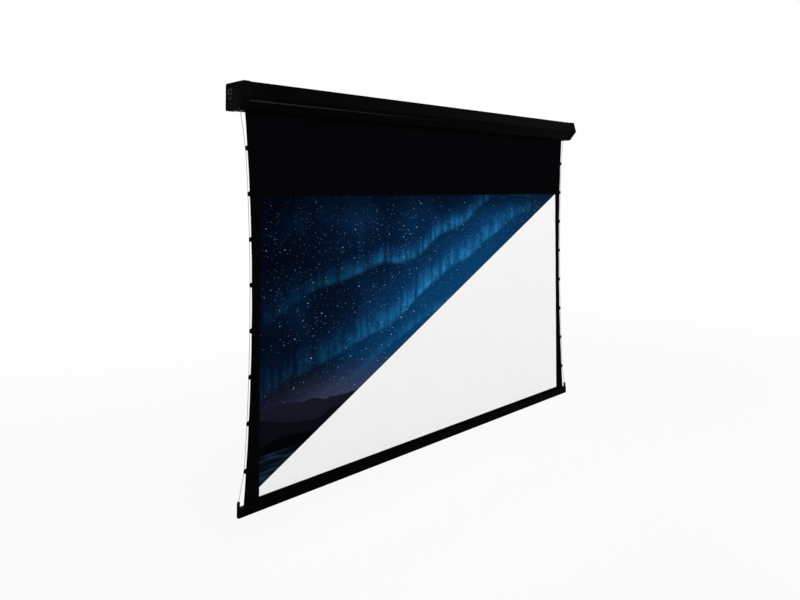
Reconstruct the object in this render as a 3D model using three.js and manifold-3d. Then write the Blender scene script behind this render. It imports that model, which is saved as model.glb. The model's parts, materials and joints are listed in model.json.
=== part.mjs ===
// Motorised tab tension projection screen, lowered, as it hangs on a wall.
//
// Millimetres. X runs along the case, -Y faces the room, +Y faces the wall and Z is up. The
// origin is the middle of the centre wall bracket's back face, in the plane of the wall.
//
// The cloth comes off the back of a roller inside the case and passes down through a slot. Its
// sides curve inwards, and a cord threaded through tabs along each side pulls them flat. Both
// cords end on springs inside the end caps of the weight bar.

import * as THREE from 'three';
import { mergeVertices } from 'three/addons/utils/BufferGeometryUtils.js';
import Module from 'manifold-3d';

const wasm = await Module();
wasm.setup();

// The picture area, measured along its diagonal
const pictureDiagonal = 3048;
const pictureAspect = 16 / 9;

// The cloth around it: borders beside the picture at three heights, and the sheets themselves
const blackDrop = 427.5;
const lowerBorder = 21;
const sideBorderTop = 94;
const sideBorderWaist = 48;
const sideBorderBottom = 88;
const waistBelowPictureTop = 560;
const clothThickness = 0.5;
const weldLap = 15;
const clothFromWall = 90;

// Clearances between pieces that seat in or on each other
const seatGap = 0.3;
const cordPlay = 1.15;
const buttonPlay = 0.4;

// How far a cutting tool runs past what it cuts, and how far joined stock bites into its neighbour
const past = 5;
const bite = 0.5;

// The case, an aluminium extrusion seen from its left end
const casePastRoller = 10;
const caseHeight = 134;
const caseTopDepth = 167.7;
const caseRidgeDepth = 186;
const caseRidgeDrop = 4;
const caseBottomDepth = 131.7;
const caseWall = 2;
const slotWidth = 24;
const slotLipRadius = 2.5;
const seamGrooveWidth = 2.4;
const seamGrooveDepth = 1;
const seamGrooveBelowMiddle = 27;
const screwChannelRadius = 4.6;
const screwChannelInset = 5.2;
const frontChannelShift = 2;
const screwBoreRadius = 2;

// The hanging rail in the back of the case, and the brackets that slide in it
const railHeight = 84;
const railDepth = 11;
const railWall = 2;
const railMouth = 64;
const bracketLength = 110;
const bracketReach = 1000;
const bracketHoleRadius = 3.6;
const bracketHoleSpacing = 70;

// The end caps slide over the case, and the steel end plates are screwed to its ends
const capWall = 2;
const capEndWall = 3;
const capSleeve = 24;
const capRimRadius = 5;
const capRoom = 9;
const plateThickness = 3;
const motorPlateHoleRadius = 12;

// The roller and the tubular motor inside it
const rollerRadius = 35;
const rollerWall = 2;
const rollerPastCord = 9;
const rollerAboveMiddle = 6;
const deadTurns = 1.2;
const splineRadius = 3;
const splineSeatWall = 1.7;
const splineSlotWidth = 1.8;
const crownLength = 20;
const crownInset = 3;
const motorRadius = 22.5;
const motorLength = 600;
const motorHeadFlangeRadius = 38;
const motorHeadBevel = 2;
const motorNeckLength = 36;
const motorSkinInset = 0.5;
const motorEndBevel = 3;
const motorShaftRadius = 6;
const motorShaftSeat = 12;
const driveWheelLength = 22;
const driveWheelFromMotor = 6;
const shaftPastWheel = 4;
const idlerPlugLength = 40;
const idlerPinRadius = 5;
const idlerPinPast = 4;
const idlerBushWall = 3;
const idlerBushFlange = 4;
const idlerBushProud = 2;

// The socket panel in the left end cap, and what sits in it
const panelDepth = 64;
const panelHeight = 92;
const panelThickness = 2;
const panelRecess = 0.6;
const panelLip = 3;
const panelFromWall = 46;
const socketWall = 1.6;
const inletWidth = 28;
const inletHeight = 21;
const inletFlange = 4;
const inletReach = 16;
const inletBevel = 5;
const inletCornerRadius = 3;
const bladeSpacing = 7;
const bladeWidth = 2;
const bladeHeight = 4;
const bladeRise = 1;
const bladeDrop = 6;
const inletAboveMiddle = 24;
const jackWidth = 16;
const jackHeight = 15;
const jackReach = 16;
const jackSpacing = 19;
const jackBelowMiddle = 9;
const buttonRadius = 4;
const buttonLength = 9;
const buttonEdge = 0.6;
const buttonProud = 0.2;
const buttonCollarReach = 1.5;
const buttonCollarThickness = 1.2;
const buttonBelowMiddle = 33;

// The control box and the leads behind the cloth
const controlBoxLength = 220;
const controlBoxHeight = 46;
const controlBoxDepth = 48;
const controlBoxFromEnd = 65;
const controlBoxCornerRadius = 3;
const controlBoxRibs = 3;
const ribWidth = 4;
const ribProud = 1.5;
const ribShort = 6;
const leadRadius = 3;
const leadStraight = 14;
const leadSpacing = 12;

// The tabs along each side and the cord threaded through them
const tabsPerSide = 8;
const tabPitch = 226.5;
const firstTabBelowCase = 188.6;
const tabHeight = 22;
const tabThickness = 1.2;
const tabLap = 21;
const cordRadius = 1.75;
const cordOutsideEdge = 9.5;
const cordPastCloth = 24;

// The weight bar, its end caps with the cord posts, and what is inside
const barPastCloth = 34;
const barHeight = 45;
const barDepth = 30;
const barCornerRadius = 4.5;
const barCapLength = 14;
const barEndRadius = 13;
const barWall = 2.4;
const hollowCornerRadius = 2.5;
const hemRodRadius = 4;
const hemWall = 1.2;
const hemBelowBarTop = 9;
const barSlotWidth = 3;
const ballastShort = 236;
const ballastHeight = 14;
const postHeight = 31;
const postTopWidth = 9;
const postTopBevel = 2;
const postShoulder = 18.6;
const postFootBend = 3;
const postRoot = 8;
const postPlay = 0.9;
const postFlare = 4;
const postDepth = 12;
const postFromEnd = 7.2;
const springRadius = 3.4;
const springWire = 0.5;
const springTurns = 6;
const springLength = 17;
const springRoof = 4;
const ferruleLength = 6;
const springChamberRadius = 4.7;

// Places that follow from the sizes above
const pictureHeight = pictureDiagonal / Math.hypot(1, pictureAspect);
const pictureWidth = pictureHeight * pictureAspect;
const clothHalfAtCase = pictureWidth / 2 + sideBorderTop;
const hemHalf = pictureWidth / 2 + sideBorderBottom;
const cordTop = clothHalfAtCase + cordPastCloth;
const rollerEnd = cordTop + rollerPastCord;
const caseEnd = rollerEnd + casePastRoller;
const caseTop = caseHeight / 2;
const caseBottom = -caseHeight / 2;
const caseBack = -(capWall + seatGap);
const caseOuterEnd = caseEnd + plateThickness + capRoom + capEndWall;
const pictureTop = caseBottom - blackDrop;
const pictureBottom = pictureTop - pictureHeight;
const waist = pictureTop - waistBelowPictureTop;
const barTop = pictureBottom - lowerBorder;
const barBottom = barTop - barHeight;
const barEnd = hemHalf + barPastCloth;
const weldPlane = -clothFromWall;
const clothMiddle = weldPlane - clothThickness / 2;
const turnsRadius = rollerRadius + seatGap + deadTurns;
const rollerY = weldPlane - clothThickness - seatGap - turnsRadius;
const rollerZ = rollerAboveMiddle;
const railFront = caseBack - railDepth;
const plateInside = caseEnd;
const plateOutside = caseEnd + plateThickness;
const boreRadius = rollerRadius - rollerWall;
const splineSeatRadius = splineRadius + seatGap;
const splineBossRadius = splineSeatRadius + splineSeatWall;
const splineDepth = rollerRadius - splineBossRadius;
const springChamberTop = barTop - springRoof;
const springTop = springChamberTop - seatGap;
const springBottom = springTop - springLength;
const ferruleTop = springBottom - seatGap;
const ferruleBottom = ferruleTop - ferruleLength;
const postX = barEnd - postFromEnd;

// Outlines are lists of points, joined from arcs and corners
const point = (u, v) => new THREE.Vector2(u, v);

function arc(u, v, radius, from, to, steps) {
  return Array.from({ length: steps + 1 }, (_, i) => {
    const angle = from + ((to - from) * i) / steps;
    return point(u + radius * Math.cos(angle), v + radius * Math.sin(angle));
  });
}

const circle = (u, v, radius, sides) => arc(u, v, radius, 0, 2 * Math.PI, sides).slice(0, -1);

const rectangle = (u0, u1, v0, v1) => [point(u0, v0), point(u1, v0), point(u1, v1), point(u0, v1)];

// A polygon given anticlockwise with a radius at each corner, grown outwards by a distance
function roundedOutline(corners, growth = 0, steps = 5) {
  const count = corners.length;
  return corners.flatMap(([u, v, radius], i) => {
    const [beforeU, beforeV] = corners[(i + count - 1) % count];
    const [afterU, afterV] = corners[(i + 1) % count];
    const arriving = point(v - beforeV, beforeU - u).normalize();
    const leaving = point(afterV - v, u - afterU).normalize();
    const reach = radius / (1 + arriving.dot(leaving));
    const from = Math.atan2(arriving.y, arriving.x);
    let to = Math.atan2(leaving.y, leaving.x);
    if (to < from) to += 2 * Math.PI;
    const centreU = u - (arriving.x + leaving.x) * reach;
    const centreV = v - (arriving.y + leaving.y) * reach;
    return arc(centreU, centreV, radius + growth, from, to, steps);
  });
}

function roundedRectangle(u0, u1, v0, v1, radius, steps = 4) {
  const corners = [[u0, v0, radius], [u1, v0, radius], [u1, v1, radius], [u0, v1, radius]];
  return roundedOutline(corners, 0, steps);
}

// Straight extrusions of an outline, whose (u, v) are the two axes other than the one named
const alongX = new THREE.Matrix4().makeBasis(
  new THREE.Vector3(0, 1, 0), new THREE.Vector3(0, 0, 1), new THREE.Vector3(1, 0, 0));
const alongY = new THREE.Matrix4().makeBasis(
  new THREE.Vector3(1, 0, 0), new THREE.Vector3(0, 0, 1), new THREE.Vector3(0, -1, 0));

function extruded(outline, depth, holes) {
  const shape = new THREE.Shape(outline);
  shape.holes = holes.map((hole) => new THREE.Path(hole));
  return new THREE.ExtrudeGeometry(shape, { depth, bevelEnabled: false });
}

function prismX(outline, a, b, holes = []) {
  const geometry = extruded(outline, Math.abs(b - a), holes);
  return geometry.applyMatrix4(alongX).translate(Math.min(a, b), 0, 0);
}

function prismY(outline, a, b, holes = []) {
  const geometry = extruded(outline, Math.abs(b - a), holes);
  return geometry.applyMatrix4(alongY).translate(0, Math.max(a, b), 0);
}

function prismZ(outline, a, b, holes = []) {
  return extruded(outline, Math.abs(b - a), holes).translate(0, 0, Math.min(a, b));
}

// A turned piece about an axis along X, from points of (place along X, radius)
function turnedX(profile, y, z, sides = 32) {
  const geometry = new THREE.LatheGeometry(profile.map(([x, r]) => point(r, x)), sides);
  return geometry.rotateZ(-Math.PI / 2).translate(0, y, z);
}

// A rod or hose of round section along a curve
function tube(curve, radius, steps, sides) {
  const shape = new THREE.Shape(circle(0, 0, radius, sides));
  return new THREE.ExtrudeGeometry(shape, { extrudePath: curve, steps, bevelEnabled: false });
}

// Joining and cutting
function solid(geometry) {
  const bare = geometry.clone();
  bare.deleteAttribute('normal');
  bare.deleteAttribute('uv');
  const merged = mergeVertices(bare);
  const vertProperties = Float32Array.from(merged.attributes.position.array);
  const triVerts = Uint32Array.from(merged.index.array);
  return new wasm.Manifold(new wasm.Mesh({ numProp: 3, vertProperties, triVerts }));
}

function surface(body) {
  const mesh = body.getMesh();
  const geometry = new THREE.BufferGeometry();
  geometry.setAttribute('position', new THREE.BufferAttribute(mesh.vertProperties.slice(), 3));
  geometry.setIndex(new THREE.BufferAttribute(mesh.triVerts.slice(), 1));
  const faceted = geometry.toNonIndexed();
  faceted.computeVertexNormals();
  return faceted;
}

function joined(...geometries) {
  return surface(geometries.map(solid).reduce((whole, next) => whole.add(next)));
}

function cut(geometry, ...tools) {
  return surface(tools.map(solid).reduce((whole, next) => whole.subtract(next), solid(geometry)));
}

const common = (one, other) => surface(solid(one).intersect(solid(other)));

// Finishes
const finish = (color, roughness, metalness) => () =>
  new THREE.MeshStandardMaterial({ color, roughness, metalness });
const satinBlack = finish(0x0b0b0c, 0.45, 0.1);
const capBlack = finish(0x101011, 0.6, 0);
const blackCloth = finish(0x060607, 0.85, 0);
const whiteCloth = finish(0xf4f4f2, 0.9, 0);
const greyCord = finish(0xc9c9c7, 0.7, 0);
const zincSteel = finish(0xa9abae, 0.4, 0.9);
const bareAluminium = finish(0xb9bbbe, 0.35, 0.9);
const springSteel = finish(0x8e9094, 0.3, 0.95);
const innerPlastic = finish(0x2a2b2d, 0.55, 0);
const leadRubber = finish(0x17181a, 0.7, 0);

const screen = new THREE.Group();

function addMesh(name, geometry, material, parent = screen) {
  const mesh = new THREE.Mesh(geometry, material());
  mesh.name = name;
  parent.add(mesh);
  return mesh;
}

const sides = [['left', -1], ['right', 1]];

// The case: the outline of its section, in (y, z), used again by the end plates and end caps
const caseCorners = [
  [caseBack, caseBottom, 8],
  [caseBack, caseTop, 8],
  [caseBack - caseTopDepth, caseTop, 6],
  [caseBack - caseRidgeDepth, -caseRidgeDrop, 9],
  [caseBack - caseBottomDepth, caseBottom, 6],
];

const slotFrom = clothMiddle - slotWidth / 2;
const slotTo = clothMiddle + slotWidth / 2;
const chamferRun = caseRidgeDepth - caseBottomDepth;
const chamferRise = caseTop - caseRidgeDrop;
const chamferSlope = Math.atan2(chamferRise, chamferRun);

// A point on the case's lower chamfer at a height
function onChamfer(z) {
  const share = (z - caseBottom) / chamferRise;
  return caseBack - caseBottomDepth - share * chamferRun;
}

const screwChannels = [
  [caseBack - screwChannelInset, caseBottom + screwChannelInset],
  [caseBack - screwChannelInset, caseTop - screwChannelInset],
  [caseBack - caseTopDepth + screwChannelInset + frontChannelShift, caseTop - screwChannelInset],
  [caseBack - caseBottomDepth + screwChannelInset, caseBottom + screwChannelInset],
];

function makeCase() {
  const shell = prismX(roundedOutline(caseCorners), -caseEnd, caseEnd, [
    roundedOutline(caseCorners, -caseWall),
  ]);
  const halfRail = railHeight / 2;
  const rail = prismX(rectangle(railFront, caseBack - bite, -halfRail, halfRail), -caseEnd, caseEnd);
  const bosses = screwChannels.map(([y, z]) =>
    prismX(circle(y, z, screwChannelRadius, 16), -caseEnd, caseEnd));
  const inside = solid(prismX(roundedOutline(caseCorners, -bite), -caseEnd, caseEnd));
  let body = solid(shell).add(solid(rail));
  for (const boss of bosses) body = body.add(solid(boss).intersect(inside));

  const beyond = caseEnd + past;
  const prismTools = [
    rectangle(railFront + railWall, caseBack - railWall, -halfRail + railWall, halfRail - railWall),
    rectangle(caseBack - railWall - bite, past, -railMouth / 2, railMouth / 2),
    rectangle(slotFrom, slotTo, caseBottom - past, caseBottom + caseWall + past),
    ...screwChannels.map(([y, z]) => circle(y, z, screwBoreRadius, 10)),
  ];
  for (const outline of prismTools) body = body.subtract(solid(prismX(outline, -beyond, beyond)));

  for (const edge of [slotFrom, slotTo]) {
    const lip = circle(edge, caseBottom + slotLipRadius, slotLipRadius, 16);
    body = body.add(solid(prismX(lip, -caseEnd, caseEnd)));
  }

  const grooveZ = -seamGrooveBelowMiddle;
  const normalY = -Math.sin(chamferSlope);
  const normalZ = -Math.cos(chamferSlope);
  const half = seamGrooveWidth / 2;
  const groove = [
    point(onChamfer(grooveZ) + normalY - normalZ * half, grooveZ + normalZ + normalY * half),
    point(onChamfer(grooveZ) + normalY + normalZ * half, grooveZ + normalZ - normalY * half),
    point(onChamfer(grooveZ) - normalY * seamGrooveDepth, grooveZ - normalZ * seamGrooveDepth),
  ];
  return surface(body.subtract(solid(prismX(groove, -beyond, beyond))));
}

addMesh('case_housing', makeCase(), satinBlack);

// Steel plates on the ends of the case carry the roller
const panelMiddle = -panelFromWall;

function screwHoles(from, to, radius) {
  return screwChannels.map(([y, z]) => prismX(circle(y, z, radius, 12), from, to));
}

function endPlate(side, holes) {
  const plate = prismX(roundedOutline(caseCorners, -seatGap), side * plateInside, side * plateOutside);
  const from = side * (plateInside - past);
  const to = side * (plateOutside + past);
  const tools = holes.map((hole) => prismX(hole, from, to));
  return cut(plate, ...screwHoles(from, to, screwBoreRadius + seatGap), ...tools);
}

const panelWindow = rectangle(
  panelMiddle - panelDepth / 2, panelMiddle + panelDepth / 2, -panelHeight / 2, panelHeight / 2);
const idlerBushRadius = idlerPinRadius + seatGap + idlerBushWall;

const motorPlateHole = circle(rollerY, rollerZ, motorPlateHoleRadius, 24);
addMesh('motor_plate', endPlate(-1, [motorPlateHole, panelWindow]), zincSteel);
addMesh(
  'idler_plate', endPlate(1, [circle(rollerY, rollerZ, idlerBushRadius + seatGap, 24)]), zincSteel);

// End caps: a sleeve over the case with an end wall, notched where the cloth and cord hang down
function makeEndCap(side) {
  const inner = caseEnd - capSleeve;
  const innerEnd = caseOuterEnd - capEndWall;
  const sleeve = new THREE.ExtrudeGeometry(
    new THREE.Shape(roundedOutline(caseCorners, seatGap + capWall)),
    { depth: caseOuterEnd - inner, bevelThickness: capRimRadius, bevelSize: capRimRadius,
      bevelOffset: -capRimRadius, bevelSegments: 3 })
    .applyMatrix4(alongX).translate(side > 0 ? inner - capRimRadius : -caseOuterEnd + capRimRadius, 0, 0);
  const ends = rectangle(caseBack - caseRidgeDepth - past, past, caseBottom - past, caseTop + past);
  const shell = cut(sleeve, prismX(ends, side * (inner - 3 * capRimRadius), side * inner));
  const tools = [
    prismX(roundedOutline(caseCorners, seatGap), side * (inner - past), side * innerEnd),
    prismX(
      rectangle(slotFrom, slotTo, caseBottom - past, caseBottom + past),
      side * (inner - past), side * plateInside),
    ...screwHoles(side * (innerEnd - past), side * (caseOuterEnd + past), screwBoreRadius + seatGap),
  ];
  if (side < 0) {
    tools.push(
      prismX(
        rectangle(
          panelMiddle - panelDepth / 2 - seatGap, panelMiddle + panelDepth / 2 + seatGap,
          -panelHeight / 2 - seatGap, panelHeight / 2 + seatGap),
        -caseOuterEnd - past, -caseOuterEnd + panelThickness),
      prismX(
        rectangle(
          panelMiddle - panelDepth / 2 + panelLip, panelMiddle + panelDepth / 2 - panelLip,
          -panelHeight / 2 + panelLip, panelHeight / 2 - panelLip),
        -caseOuterEnd - past, -innerEnd + past));
  }
  return cut(shell, ...tools);
}

for (const [word, side] of sides) addMesh(`end_cap_${word}`, makeEndCap(side), capBlack);

// Wall brackets: a T section that slides in the rail, drilled for two wall screws
function makeBracket(middle) {
  const foot = railHeight / 2 - railWall - seatGap;
  const neck = railMouth / 2 - seatGap;
  const footBack = caseBack - railWall - seatGap;
  const footFront = railFront + railWall + seatGap;
  const section = [
    point(footFront, -foot), point(footBack, -foot), point(footBack, -neck), point(0, -neck),
    point(0, neck), point(footBack, neck), point(footBack, foot), point(footFront, foot),
  ];
  const body = prismX(section, middle - bracketLength / 2, middle + bracketLength / 2);
  const holes = [-1, 1].map((end) =>
    prismY(circle(middle + (end * bracketHoleSpacing) / 2, 0, bracketHoleRadius, 18),
      footFront - past, past));
  return cut(body, ...holes);
}

const brackets = [['left', -bracketReach], ['centre', 0], ['right', bracketReach]];
for (const [word, middle] of brackets) {
  addMesh(`wall_bracket_${word}`, makeBracket(middle), zincSteel);
}

// The roller tube has a seat along it that holds the cloth by a spline
const splineSlot = rectangle(
  rollerY - splineSlotWidth / 2, rollerY + splineSlotWidth / 2,
  rollerZ + splineDepth, rollerZ + rollerRadius + past);

function makeRollerTube() {
  const ring = prismX(circle(rollerY, rollerZ, rollerRadius, 48), -rollerEnd, rollerEnd, [
    circle(rollerY, rollerZ, boreRadius, 48),
  ]);
  const boss = prismX(
    circle(rollerY, rollerZ + splineDepth, splineBossRadius, 20), -rollerEnd, rollerEnd);
  const beyond = rollerEnd + past;
  const seat = prismX(
    circle(rollerY, rollerZ + splineDepth, splineSeatRadius, 16), -beyond, beyond);
  return cut(joined(ring, boss), seat, prismX(splineSlot, -beyond, beyond));
}

addMesh('roller_tube', makeRollerTube(), bareAluminium);

const spline = prismX(
  circle(rollerY, rollerZ + splineDepth, splineRadius, 12), -clothHalfAtCase, clothHalfAtCase);
addMesh('cloth_spline', spline, innerPlastic);

// The turns that stay on the roller when the cloth is fully down
const turns = prismX(
  circle(rollerY, rollerZ, turnsRadius, 50), -clothHalfAtCase, clothHalfAtCase,
  [circle(rollerY, rollerZ, rollerRadius + seatGap, 50)]);
addMesh('dead_turns', turns, blackCloth);

// A wheel that fits the roller's bore, notched for the spline seat
function boreWheel(from, to, hub) {
  const wheel = prismX(circle(rollerY, rollerZ, boreRadius - seatGap, 40), from, to, [
    circle(rollerY, rollerZ, hub, 28),
  ]);
  const notch = prismX(
    circle(rollerY, rollerZ + splineDepth, splineBossRadius + seatGap, 20), from - past, to + past);
  return cut(wheel, notch);
}

// The motor: its head is held by the left plate, and its shaft drives the tube from inside
const headFlangeEnd = -rollerEnd - seatGap;
const neckEnd = -rollerEnd + motorNeckLength;
const motorEnd = neckEnd + motorLength;
const shaftFrom = motorEnd - motorShaftSeat;
const wheelFrom = motorEnd + driveWheelFromMotor;
const wheelTo = wheelFrom + driveWheelLength;

const head = turnedX(
  [[-plateInside, 0], [-plateInside, motorHeadFlangeRadius],
    [headFlangeEnd - motorHeadBevel, motorHeadFlangeRadius],
    [headFlangeEnd, motorHeadFlangeRadius - motorHeadBevel], [headFlangeEnd, motorRadius],
    [neckEnd, motorRadius], [neckEnd, 0]],
  rollerY, rollerZ, 32);
addMesh('motor_head', head, innerPlastic);

const motor = turnedX(
  [[neckEnd, 0], [neckEnd, motorRadius - motorSkinInset],
    [motorEnd - motorEndBevel, motorRadius - motorSkinInset],
    [motorEnd, motorRadius - motorSkinInset - motorEndBevel], [motorEnd, motorShaftRadius + seatGap],
    [shaftFrom - seatGap, motorShaftRadius + seatGap], [shaftFrom - seatGap, 0]],
  rollerY, rollerZ, 28);
addMesh('motor_body', motor, zincSteel);

const shaft = prismX(
  circle(rollerY, rollerZ, motorShaftRadius, 16), shaftFrom, wheelTo + shaftPastWheel);
addMesh('motor_shaft', shaft, springSteel);
addMesh('drive_wheel', boreWheel(wheelFrom, wheelTo, motorShaftRadius + seatGap), innerPlastic);

const crownFrom = -rollerEnd + crownInset;
addMesh(
  'limit_crown', boreWheel(crownFrom, crownFrom + crownLength, motorRadius + seatGap), innerPlastic);

// The idler end: a plug in the tube, on a pin that turns in a bush in the right plate
const plugFrom = rollerEnd - idlerPlugLength;
addMesh('idler_plug', boreWheel(plugFrom, rollerEnd, idlerPinRadius + seatGap), innerPlastic);

const pin = prismX(
  circle(rollerY, rollerZ, idlerPinRadius, 20), plugFrom - idlerPinPast, plateOutside + idlerPinPast);
addMesh('idler_pin', pin, springSteel);

const bushFrom = plateInside - idlerBushProud;
const bushTo = plateOutside + idlerBushProud;
const bush = turnedX(
  [[bushFrom, idlerPinRadius + seatGap], [bushFrom, idlerBushRadius + idlerBushFlange],
    [plateInside, idlerBushRadius + idlerBushFlange], [plateInside, idlerBushRadius],
    [bushTo, idlerBushRadius], [bushTo, idlerPinRadius + seatGap],
    [bushFrom, idlerPinRadius + seatGap]],
  rollerY, rollerZ, 24);
addMesh('idler_bush', bush, innerPlastic);

// The socket panel, set in the left end cap
const panelFace = -caseOuterEnd;
const panelBack = panelFace + panelThickness;
const flangeHalfY = inletWidth / 2 + inletFlange;
const flangeHalfZ = inletHeight / 2 + inletFlange;

const jackPlaces = [-1, 1].map((end) => panelMiddle + (end * jackSpacing) / 2);
const panelHoles = [
  rectangle(
    panelMiddle - inletWidth / 2 - seatGap, panelMiddle + inletWidth / 2 + seatGap,
    inletAboveMiddle - inletHeight / 2 - seatGap, inletAboveMiddle + inletHeight / 2 + seatGap),
  ...jackPlaces.map((y) => rectangle(
    y - jackWidth / 2 - seatGap, y + jackWidth / 2 + seatGap,
    -jackBelowMiddle - jackHeight / 2 - seatGap, -jackBelowMiddle + jackHeight / 2 + seatGap)),
  circle(panelMiddle, -buttonBelowMiddle, buttonRadius + buttonPlay, 24),
];
const panelFront = panelFace + panelRecess;
const panel = cut(
  prismX(panelWindow, panelFront, panelBack),
  ...panelHoles.map((hole) => prismX(hole, panelFront - past, panelBack + past)));
addMesh('socket_panel', panel, capBlack);

// The power inlet: a flanged shell with a deep socket and three blades
function makeInlet() {
  const back = panelFace + inletReach;
  const body = prismX(
    rectangle(
      panelMiddle - inletWidth / 2, panelMiddle + inletWidth / 2,
      inletAboveMiddle - inletHeight / 2, inletAboveMiddle + inletHeight / 2),
    panelFace, back);
  const flange = prismX(
    roundedRectangle(
      panelMiddle - flangeHalfY, panelMiddle + flangeHalfY,
      inletAboveMiddle - flangeHalfZ, inletAboveMiddle + flangeHalfZ, inletCornerRadius),
    panelFace, panelFront - seatGap);
  const halfY = inletWidth / 2 - socketWall;
  const bottom = inletAboveMiddle - inletHeight / 2 + socketWall;
  const top = inletAboveMiddle + inletHeight / 2 - socketWall;
  const socket = [
    point(panelMiddle - halfY, bottom), point(panelMiddle + halfY, bottom),
    point(panelMiddle + halfY, top - inletBevel), point(panelMiddle + halfY - inletBevel, top),
    point(panelMiddle - halfY + inletBevel, top), point(panelMiddle - halfY, top - inletBevel),
  ];
  const hollow = prismX(socket, panelFace - past, back - socketWall);
  const bladePlaces = [[-bladeSpacing, -bladeRise], [0, 3 * bladeRise], [bladeSpacing, -bladeRise]];
  const blades = bladePlaces.map(([y, z]) => prismX(
    rectangle(
      panelMiddle + y - bladeWidth / 2, panelMiddle + y + bladeWidth / 2,
      inletAboveMiddle + z - bladeHeight / 2, inletAboveMiddle + z + bladeHeight / 2),
    panelFace + bladeDrop, back - socketWall + bite));
  return joined(cut(joined(body, flange), hollow), ...blades);
}

addMesh('power_inlet', makeInlet(), innerPlastic);

// The two control jacks are one moulding with two sockets
function makeJacks() {
  const back = panelFace + jackReach;
  const shells = jackPlaces.map((y) => prismX(
    rectangle(
      y - jackWidth / 2, y + jackWidth / 2,
      -jackBelowMiddle - jackHeight / 2, -jackBelowMiddle + jackHeight / 2),
    panelFront - seatGap, back));
  const block = prismX(
    rectangle(
      jackPlaces[0] - jackWidth / 2, jackPlaces[1] + jackWidth / 2,
      -jackBelowMiddle - jackHeight / 2, -jackBelowMiddle + jackHeight / 2),
    panelBack + seatGap, back);
  const sockets = jackPlaces.map((y) => prismX(
    rectangle(
      y - jackWidth / 2 + socketWall, y + jackWidth / 2 - socketWall,
      -jackBelowMiddle - jackHeight / 2 + socketWall, -jackBelowMiddle + jackHeight / 2 - socketWall),
    panelFace - past, back - socketWall));
  return cut(joined(block, ...shells), ...sockets);
}

addMesh('control_jacks', makeJacks(), innerPlastic);

// The up and down button, in its hole in the panel, with a collar behind that keeps it in
const buttonFace = panelFront - buttonProud;
const collarFrom = panelBack + seatGap;
const collarTo = collarFrom + buttonCollarThickness;
const button = turnedX(
  [[buttonFace, 0], [buttonFace, buttonRadius - buttonEdge], [buttonFace + buttonEdge, buttonRadius],
    [collarFrom, buttonRadius], [collarFrom, buttonRadius + buttonCollarReach],
    [collarTo, buttonRadius + buttonCollarReach], [collarTo, buttonRadius - buttonCollarReach],
    [panelFace + buttonLength, buttonRadius - buttonCollarReach], [panelFace + buttonLength, 0]],
  panelMiddle, -buttonBelowMiddle, 20);
addMesh('program_button', button, innerPlastic);

// The control box stands on the inside of the hanging rail
const boxFrom = -caseEnd + controlBoxFromEnd;
const boxFront = railFront - controlBoxDepth;

function makeControlBox() {
  const halfBox = controlBoxHeight / 2;
  const body = prismX(
    roundedRectangle(boxFront, railFront, -halfBox, halfBox, controlBoxCornerRadius),
    boxFrom, boxFrom + controlBoxLength);
  const rib = rectangle(boxFront - ribProud, boxFront + bite, -halfBox + ribShort, halfBox - ribShort);
  const ribs = Array.from({ length: controlBoxRibs }, (_, i) => {
    const middle = boxFrom + (controlBoxLength * (i + 1)) / (controlBoxRibs + 1);
    return prismX(rib, middle - ribWidth / 2, middle + ribWidth / 2);
  });
  return joined(body, ...ribs);
}

addMesh('control_box', makeControlBox(), innerPlastic);

// Leads from the power inlet and the motor head to the control box
const leadEnd = boxFrom - seatGap;
const headX = -(plateInside + rollerEnd) / 2;
const boxMiddle = (boxFront + railFront) / 2;
const leadPoints = {
  supply_lead: [
    [panelFace + inletReach + seatGap, panelMiddle, inletAboveMiddle],
    [panelFace + inletReach + leadStraight, panelMiddle, inletAboveMiddle],
    [leadEnd - leadStraight, boxMiddle, leadSpacing],
    [leadEnd, boxMiddle, leadSpacing],
  ],
  motor_lead: [
    [headX, rollerY + motorHeadFlangeRadius + seatGap, rollerZ],
    [headX, rollerY + motorHeadFlangeRadius + leadStraight, rollerZ],
    [headX + leadStraight, panelMiddle - leadSpacing, -leadSpacing],
    [leadEnd - leadStraight, boxMiddle, -leadSpacing],
    [leadEnd, boxMiddle, -leadSpacing],
  ],
};
for (const [name, points] of Object.entries(leadPoints)) {
  const curve = new THREE.CatmullRomCurve3(points.map((p) => new THREE.Vector3(...p)));
  addMesh(name, tube(curve, leadRadius, 14, 10), leadRubber);
}

// Half the cloth's width at a height: two parabolas that meet at the waist
function clothHalfWidth(z) {
  const above = z > waist;
  const reach = above ? caseBottom - waist : waist - barTop;
  const edge = above ? sideBorderTop : sideBorderBottom;
  const share = Math.min(Math.abs(z - waist) / reach, 1);
  return pictureWidth / 2 + sideBorderWaist + (edge - sideBorderWaist) * share * share;
}

// The black cloth: the drop and the borders in one piece, with a hem around a rod at the bottom
const hemZ = barTop - hemBelowBarTop;
const hemInner = hemRodRadius + seatGap;
const hemOuter = hemInner + hemWall;

function makeMaskingCloth() {
  const edgeSteps = 36;
  const rightEdge = Array.from({ length: edgeSteps + 1 }, (_, i) => {
    const z = barTop + ((caseBottom - barTop) * i) / edgeSteps;
    return point(clothHalfWidth(z), z);
  });
  const leftEdge = rightEdge.map(({ x, y }) => point(-x, y)).reverse();
  const outline = [
    point(hemHalf, hemZ + hemInner), ...rightEdge, point(clothHalfAtCase, rollerZ),
    point(-clothHalfAtCase, rollerZ), ...leftEdge, point(-hemHalf, hemZ + hemInner),
  ];
  const window = rectangle(-pictureWidth / 2, pictureWidth / 2, pictureBottom, pictureTop);
  const sheet = prismY(outline, weldPlane - clothThickness, weldPlane, [window]);
  const hem = prismX(circle(clothMiddle, hemZ, hemOuter, 24), -hemHalf, hemHalf, [
    circle(clothMiddle, hemZ, hemInner, 24),
  ]);
  return joined(sheet, hem);
}

addMesh('masking_cloth', makeMaskingCloth(), blackCloth);

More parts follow.
